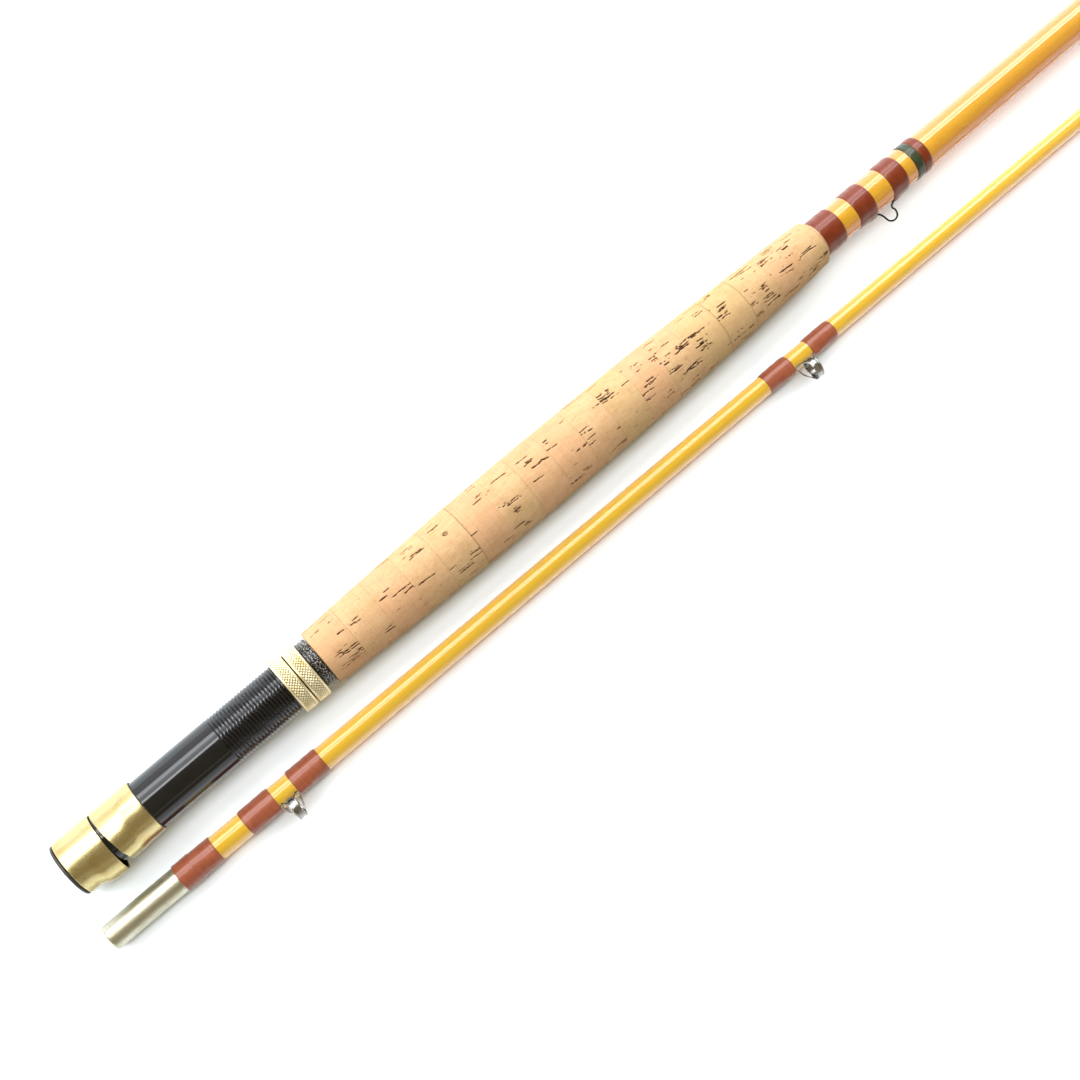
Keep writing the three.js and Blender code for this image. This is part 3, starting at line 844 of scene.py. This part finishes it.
def build_grip():
    path = smooth_path(grip_outline(), 12)
    rng = np.random.default_rng(41)
    for number in range(1, CORK_RINGS + 1):
        node = f"cork_ring_{number:02d}"
        start, end = span(node)
        bore = stations(node)[0][1]
        along = np.linspace(start + 0.01, end - 0.01, 46)
        radii = np.interp(along, path[:, 0], path[:, 1])
        if number == CORK_RINGS:
            radii = radii - 2.2 * smoothstep(end - 2.4, end, along) ** 2.2
        rear_face = [(start - 0.02, bore), (start - 0.02, radii[0])]
        front_face = [(end + 0.02, radii[-1]), (end + 0.02, bore)]
        points = np.vstack([rear_face, np.stack([along, radii], 1), front_face])
        density = rng.uniform(0.6, 1.2) + (0.5 if number > 8 else 0)
        tint = rng.choice([-0.8, -0.3, 0.1, 0.5, 1.0]) + rng.uniform(-0.1, 0.1)
        noise = np.random.default_rng(100 + number)

        def weather(x, r, angle):
            middle = radii.mean()
            pits = pit_field(x, angle * middle, 2 * pi * middle, noise, density)
            pits = pits * smoothstep(bore + 0.4, bore + 1.0, r)
            uneven = 0.008 * np.sin(angle * 3 + number) * (r > bore + 0.5)
            shade = tint + 0.25 * np.sin(2 * angle + number)
            return x, r + uneven - PIT_DEPTH * pits, {"pit": pits, "tint": shade}

        piece(node, turned(points, CORK_SIDES, weather, closed=True), CORK)


# ---- blanks, wraps and ferrules


def build_blanks():
    outside = outside_of("butt_blank")
    inside = [(x, low) for x, low, _ in stations("butt_blank")][::-1]
    piece("butt_blank", turned_ring(outside + inside, ROUND, 0.12), AMBER)
    outside = [row for row in outside_of("tip_blank", TIP) if row[1] > 1]
    inside = [(outside[-1][0], 0.5), (448, 2.15), (outside[0][0], 3.2)]  # narrower forward
    piece("tip_blank", turned_ring(outside + inside, ROUND, 0.12), TIP_AMBER, TIP)


def winding(start, end, foot=None, turn=0.0, seed=0):
    """The turns of thread under their varnish, and the rise over the foot of a guide or the keeper,
    which lies under the wrap's "front" or "rear" part."""

    def warp(x, r, angle):
        edge = np.minimum(x - start, end - x)
        inside = smoothstep(0.0, 0.5, edge)
        ridges = 0.006 * np.cos(2 * pi * (x / WINDING_PITCH) - angle)
        waves = 0.03 * np.sin(x * 1.7 + seed) + 0.025 * np.sin(2 * angle + 0.5 * x + seed)
        raised = 0.0
        if foot:
            reach = (end - start) * 0.72
            away = (end - x) if foot == "front" else (x - start)
            down = smoothstep(reach, reach * 0.25, away)
            apart = np.arctan2(np.sin(angle - turn), np.cos(angle - turn)) * r
            raised = 0.5 * down * np.exp(-((apart / 1.15) ** 2))
        outside = smoothstep(0.12, 0.25, r - r.min())
        return x, r + (ridges * inside + waves * inside + raised) * outside

    return warp


def wrap_piece(node, ends, wound_on, look, place=ROW, foot=None, turn=0.0, name=None):
    """A wrap between two stations of a blank, whose [station, radius] rows are wound_on."""
    start, end = ends
    along = np.arange(start + 0.25, end - 0.25, WINDING_STEP)
    thick = 0.18 + 0.17 * smoothstep(0, 0.9, np.minimum(along - start, end - along))
    first, last = radius_at(wound_on, start), radius_at(wound_on, end)
    points = [(start, first - 0.05), (start, first + 0.05), (start + 0.1, first + 0.14)]
    points += list(zip(along, radius_at(wound_on, along) + thick))
    points += [(end - 0.1, last + 0.14), (end, last + 0.05), (end, last - 0.05)]
    part = turned(points, SLIM, winding(start, end, foot, turn, seed=start), closed=True)
    piece(node, part, look, place, name=name)


def build_butt_wraps():
    blank = outside_of("butt_blank")
    for node, (rear_shift, front_shift, foot) in BUTT_WRAPS.items():
        start, end = span(node)
        ends = start + rear_shift, end + front_shift
        look = GREEN if node == "trim_wrap_green" else BROWN
        wrap_piece(node, ends, blank, look, ROW, foot, pi)


def build_hook_keeper():
    low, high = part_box("hook_keeper")
    start, end = low.x / MM, high.x / MM
    reach = -low.y / MM - 0.6
    foot = 7.2
    length = 0.87 * (end - start)
    path = [
        (start - 4.5, foot - 0.3, 0), (start - 1.5, foot - 0.2, 0), (start + 0.2, foot + 0.3, 0),
        (start + 0.14 * length, foot + 2.0, 0), (start + 0.2 * length, reach - 1.5, 0.1),
        (start + 0.36 * length, reach - 0.45, 0.2), (start + 0.55 * length, reach - 0.3, 0.3),
        (start + 0.74 * length, reach - 1.2, 0.5), (start + 0.8 * length, reach - 3.0, 0.6),
        (start + 0.76 * length, foot + 1.6, 0.4), (start + 0.9 * length, foot + 0.4, 0.2),
        (end + 1.2, foot - 0.2, 0), (end + 4.2, foot - 0.3, 0),
    ]
    part = wire([(x, -y, z) for x, y, z in path], 0.34, 10, 7, taper=0.4)
    piece("hook_keeper", part, WIRE)


def build_male_ferrule():
    rows = stations("male_ferrule", TIP)
    start, end = rows[0][0], rows[-1][0]
    radius = max(row[2] for row in rows)
    shoulder = max(x for x, _, high in rows if high > radius - 0.02)
    outline = [
        (start, 0), (start, radius - 0.7, 0.35), (start + 0.55, radius - 0.04, 0.4),
        (start + 3.1, radius, 0.05), (start + 3.2, radius - 0.06, 0.05),
        (start + 3.45, radius - 0.06, 0.05), (start + 3.55, radius, 0.05), (shoulder, radius, 0.1),
        (shoulder, radius - 0.1, 0.02), (end, radius - 0.1, 0.05), (end, radius - 0.3, 0.05),
        (start + 6, radius - 0.3, 0.1), (start + 6, 0),
    ]
    rng = np.random.default_rng(5)
    low, high = (start + 4, 0, 0.2), (shoulder, 6.28, 0.5)
    dents = [[rng.uniform(*limits) for limits in zip(low, high)] for _ in range(26)]

    def dented(x, r, angle):
        depth = np.zeros(x.shape)
        for station, around, size in dents:
            apart = np.arctan2(np.sin(angle - around), np.cos(angle - around)) * radius
            distance = np.hypot(x - station, apart) / size
            depth = np.maximum(depth, 0.09 * np.exp(-(distance**2)))
        return x, r - depth * (r > radius - 0.08)

    part = turned(refined(softened(outline, 0.1, 3), 0.3), FINE, dented)
    piece("male_ferrule", part, NICKEL, TIP)


def build_ferrule_wraps():
    rows = stations("male_ferrule_wrap", TIP)
    (start, bore, radius), (end, _, low) = rows[0], rows[-1]
    ferrule_end = span("male_ferrule", TIP)[1]
    along = np.arange(start + 0.25, end - 0.25, WINDING_STEP)
    outer = low + 0.02 + (radius - low) * smoothstep(ferrule_end + 1.1, ferrule_end + 0.1, along)
    outer += 0.13 * np.exp(-(((along - ferrule_end + 0.2) / 0.3) ** 2))
    points = [(start, bore), (start, radius - 0.3), (start + 0.1, radius - 0.12)]
    points += list(zip(along, outer))
    points += [(end - 0.1, low - 0.12), (end, low - 0.3), (end, bore)]
    part = turned(points, SLIM, winding(start, end, seed=3), closed=True)
    piece("male_ferrule_wrap", part, TIP_BROWN, TIP)
    rows = stations("female_ferrule_wrap")
    (start, rear_bore, low), (end, front_bore, high), step_at = rows[0], rows[-1], rows[1][0]
    along = np.arange(start + 0.25, end - 0.25, WINDING_STEP * 1.6)
    outer = low + 0.02 + (high - low) * smoothstep(step_at - 1.2, step_at, along)
    points = [(start, rear_bore), (start, low - 0.3), (start + 0.1, low - 0.12)]
    points += list(zip(along, outer))
    points += [(end - 0.1, high - 0.12), (end, high - 0.3), (end, front_bore)]
    points += [(step_at, front_bore), (step_at, rear_bore)]
    part = turned(points, SLIM, winding(start, end, seed=4), closed=True)
    piece("female_ferrule_wrap", part, BROWN)


def groove(start, radius):
    """The part of an outline where a shallow groove runs round."""
    floor = radius - 0.12
    into = [(start, radius, 0.1), (start + 0.1, floor, 0.05)]
    return into + [(start + 0.4, floor, 0.05), (start + 0.5, radius, 0.1)]


def build_female_ferrule():
    rows = stations("female_ferrule")
    start, (end, bore, radius) = rows[0][0], rows[-1]
    outline = [
        (start, bore, 0.05), (start, radius - 0.55, 0.1), (start + 0.8, radius - 0.4, 0.2),
        (end - 6.2, radius - 0.4, 0.1), (end - 5.7, radius, 0.15), *groove(end - 4.4, radius),
        *groove(end - 1.7, radius), (end, radius, 0.25), (end, bore + 0.2, 0.1),
        (end - 0.3, bore, 0.1),
    ]
    piece("female_ferrule", turned_ring(outline, FINE), NICKEL)


# ---- guides


def guide_setting(node, place):
    """Where a guide's ring is: its station, its height from the rod's axis and its direction."""
    local = vertices(node, place)
    middle = (local.min(0) + local.max(0)) / 2
    return middle[0], hypot(middle[1], middle[2]), atan2(middle[2], middle[1])


def ring_band(height, bore, radius, width, bulge, sides=SLIM):
    """A polished ring along X, its middle at a height, its walls slightly rounded."""
    half = width / 2
    outline = [(-half, bore + 0.12, 0.1), (-half, radius - bulge, 0.12), (-half / 2, radius, 0.6)]
    outline += [(-x, r, rounding) for x, r, rounding in outline[::-1]]
    outline += [(half / 2, bore, 0.5), (-half / 2, bore, 0.5)]
    return turned_ring(outline, sides, 0.1, 4).at(Place([0, 0, height], np.eye(3)))


def guide_wires(free, blank_radius, height, reach, radius):
    """Two wire loops, each from a foot under its wrap round the ring's sides and over its top."""
    foot = blank_radius + radius * 0.9
    rise = height - foot
    loop = [
        (free / 2 + 5.5, 0.75 * radius, foot - radius * 0.35),
        (free / 2 + 2.0, 0.8 * radius, foot - radius * 0.1),
        (free / 2 + 0.1, 0.85 * radius, foot + 0.12),
        (free * 0.36 + 0.4, reach * 0.42, foot + rise * 0.12),
        (free * 0.25 + 0.5, reach * 0.84, foot + rise * 0.5), (1.45, reach * 1.02, height),
        (1.2, reach * 0.73, height + reach * 0.72), (1.12, 0.0, height + reach * 1.02),
    ]
    loop += [(x, -y, z) for x, y, z in loop[-2::-1]]
    return [wire(np.array(loop) * (side, 1, 1), radius, 10, 6, taper=0.5) for side in (-1, 1)]


def build_large_guide(node, place, blank):
    """A guide whose ring, frame and wraps are CAD nodes of their own."""
    station, height, turn = guide_setting(f"{node}_ring", place)
    here = place.moved(station, turn - pi / 2)
    rear, front = span(f"{node}_wrap_rear", place), span(f"{node}_wrap_front", place)
    rows = stations(f"{node}_ring", Place(here.out([0, 0, height]), here.axes))
    width, bore, outer = box_length(f"{node}_ring"), rows[0][1], rows[0][2]
    liner = ring_band(height, bore, outer, width, 0.12)
    piece(f"{node}_ring", liner, STEEL, here)
    hoop = outer + 0.1
    radius = 0.42 if node == "stripping_guide" else 0.29
    band = ring_band(height, hoop, hoop + 2 * radius - 0.1, width - 0.45, 0.22)
    free = front[0] - rear[1]
    wires = guide_wires(free, radius_at(blank, station), height, hoop + radius, radius)
    piece(f"{node}_frame", together([band, *wires]), STEEL, here)
    for word, ends, foot in (("rear", rear, "front"), ("front", front, "rear")):
        wrap_piece(f"{node}_wrap_{word}", ends, blank, TIP_BROWN, place, foot, turn)


def build_small_guide(node, ring, radius, free, blank):
    """A guide that is one CAD node, seen as a frame and two wraps."""
    start, end = span(node, TIP)
    middle = (start + end) / 2
    here = TIP.moved(middle, SMALL_GUIDE_TURN - pi / 2)
    height = radius_at(blank, start) + 2 * radius + ring + 0.7
    band = ring_band(height, ring, ring + 2 * radius - 0.1, 2.3, 0.15, SMALL)
    wires = guide_wires(free, radius_at(blank, middle), height, ring + radius, radius * 0.8)
    name = node.title()
    piece(node, together([band, *wires]), STEEL, here, name=f"{name}_Frame")
    rear, front = (start, middle - free / 2), (middle + free / 2, end)
    for word, ends, foot in (("Rear", rear, "front"), ("Front", front, "rear")):
        wrap_name = f"{name}_Wrap_{word}"
        wrap_piece(node, ends, blank, TIP_BROWN, TIP, foot, SMALL_GUIDE_TURN, wrap_name)


def build_tip_top():
    rows = stations("tip_top_tube", TIP)
    (start, bore, radius), end = rows[0], rows[-1][0]
    outline = [
        (start, bore, 0.05), (start, radius - 0.15, 0.1), (start + 0.8, radius, 0.2),
        (end - 0.5, radius, 0.3), (end, radius - 0.35, 0.2), (end, bore, 0.05),
    ]
    piece("tip_top_tube", turned_ring(outline, SLIM), STEEL, TIP)
    station, height, turn = guide_setting("tip_top_ring", TIP)
    around = np.arange(24) * 2 * pi / 24
    circle = [(0, 2.6 * cos(a), height + 2.6 * sin(a)) for a in around]
    brace = [(-6.5, 1.3, 1.1), (-3.5, 1.9, 1.6), (-0.8, 2.6, height - 1.2), (0, 2.7, height)]
    other_brace = [(x, -y, z) for x, y, z in brace]
    wires = [wire(circle, 0.45, 12, 2, closed=True), wire(brace, 0.32, 8), wire(other_brace, 0.32, 8)]
    here = TIP.moved(station, turn - pi / 2)
    piece("tip_top_ring", together(wires), STEEL, here)
    blank = outside_of("tip_blank", TIP)
    wrap_piece("tip_top_wrap", span("tip_top_wrap", TIP), blank, TIP_BROWN, TIP)


def build_guides():
    build_large_guide("stripping_guide", ROW, outside_of("butt_blank"))
    thick_tip = [row for row in outside_of("tip_blank", TIP) if row[0] > TIP_STUB_END]
    for node in ("guide_1", "guide_2"):
        build_large_guide(node, TIP, thick_tip)
    for node, sizes in SMALL_GUIDES.items():
        build_small_guide(node, *sizes, thick_tip)


def finish_hidden_nodes():
    """CAD nodes that keep their own meshes: inside the seat and the ferrule."""
    hidden = {"seat_arbor_rear": ARBOR, "seat_arbor_front": ARBOR, "ferrule_water_dam": NICKEL[0]}
    for node, material in hidden.items():
        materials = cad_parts[node].data.materials
        materials.clear()
        materials.append(material)


# ---- table, light and camera


def lay_table():
    half = TABLE_HALF_SIZE * MM
    points = [(-half, -half, 0), (half, -half, 0), (half, half, 0), (-half, half, 0)]
    mesh = bpy.data.meshes.new("Table")
    mesh.from_pydata(points, [], [(0, 1, 2, 3)])
    mesh.materials.append(table_finish())
    table = add_object("Table", mesh)
    table.location = (0, 0, TABLE_HEIGHT * MM)


def area_light(name, from_zenith, distance, width, length, radiance, swing=0.0):
    """A light about along X, from_zenith away from straight up towards +Y, and turned about the
    vertical by swing, both in degrees."""
    data = bpy.data.lights.new(name, "AREA")
    data.shape = "RECTANGLE"
    data.size, data.size_y = length, width
    data.energy = radiance * pi * length * width
    lamp = add_object(name, data)
    lean = Matrix.Rotation(radians(-from_zenith), 4, "X")
    turn = Matrix.Rotation(radians(swing), 4, "Z")
    lamp.matrix_world = turn @ lean @ Matrix.Translation((0.35, 0, distance))
    lamp.visible_camera = False
    return lamp


def light_scene():
    """Strips that are only seen reflected, and broad lights that are never reflected."""
    strips = (
        area_light("near_strip", 19, 1.2, 0.16, 3.6, 9.5, 14),
        area_light("middle_strip", 34, 1.5, 0.6, 3.6, 2.8, 12),
        area_light("far_strip", 49, 1.3, 0.3, 3.6, 5.6, 10),
        area_light("low_strip", -54, 1.6, 0.08, 3.6, 1.0),
    )
    for lamp in strips:
        lamp.visible_diffuse = False
        lamp.data.color = (0.9, 0.95, 1.0)
    top = area_light("top_light", 10, 1.8, 0.6, 4.0, 5.7)
    top.data.color = (1.0, 0.975, 0.955)
    for lamp in (area_light("side_light", 53, 1.8, 1.9, 4.0, 4.6), top):
        lamp.visible_glossy = False


def make_world():
    """Bright all round, under a dark ceiling that leans towards -Y, and plain white to the camera."""
    world = bpy.data.worlds.new("world")
    made = Nodes(world)
    direction = made.node("TexCoord", "Generated", {})
    across = made.node("SeparateXYZ", "Y", {0: direction})
    flat = made.node("VectorMath", "Vector", {0: direction, 1: (0, 1, 1)}, operation="MULTIPLY")
    unit = made.node("VectorMath", "Vector", {0: flat}, operation="NORMALIZE")
    to_ceiling = {0: unit, 1: (0, -0.34, 0.94)}
    ceiling = made.node("VectorMath", "Value", to_ceiling, operation="DOT_PRODUCT")
    bright, dark = (0.98, 0.98, 1.0, 1), (0.26, 0.21, 0.13, 1)
    colour = made.ramp(ceiling, (0.5, bright), (0.66, dark), curve="EASE")
    strength = made.fit(across, -0.8, 0.9, 1.5, 1.7, curve="SMOOTHSTEP")
    band = made.node("Background", 0, {"Color": colour, "Strength": strength})
    plain = made.node("Background", 0, {"Color": (1, 1, 1, 1)})
    seen = made.node("LightPath", "Is Camera Ray", {})
    shown = made.node("MixShader", 0, {0: seen, 1: band, 2: plain})
    made.put(made.nodes["World Output"].inputs["Surface"], shown)
    bpy.context.scene.world = world
    bpy.context.scene.view_settings.view_transform = "Standard"


def place_camera():
    data = bpy.data.cameras.new("camera")
    data.lens, data.sensor_width = FOCAL_LENGTH, SENSOR_WIDTH
    data.clip_start, data.clip_end = 0.01, 30
    tilt, roll = CAMERA_TILT, CAMERA_ROLL
    forward = Vector((sin(tilt), 0, -cos(tilt)))
    along = Vector((cos(tilt), 0, sin(tilt)))
    across = Vector((0, 1, 0))
    right = along * cos(roll) - across * sin(roll)
    up = along * sin(roll) + across * cos(roll)
    matrix = Matrix((right, up, -forward)).transposed().to_4x4()
    matrix.translation = Vector(CAMERA_AT) * MM
    camera = add_object("camera", data)
    camera.matrix_world = matrix
    bpy.context.scene.camera = camera


place_camera()
light_scene()
make_world()
lay_table()
build_butt_plate()
build_fixed_hood()
build_sliding_hood()
build_barrel()
build_lock_ring("lower_lock_ring")
build_lock_ring("upper_lock_ring")
build_grip()
build_blanks()
build_butt_wraps()
build_hook_keeper()
build_male_ferrule()
build_ferrule_wraps()
build_female_ferrule()
build_guides()
build_tip_top()
finish_hidden_nodes()


bpy.context.view_layer.update()
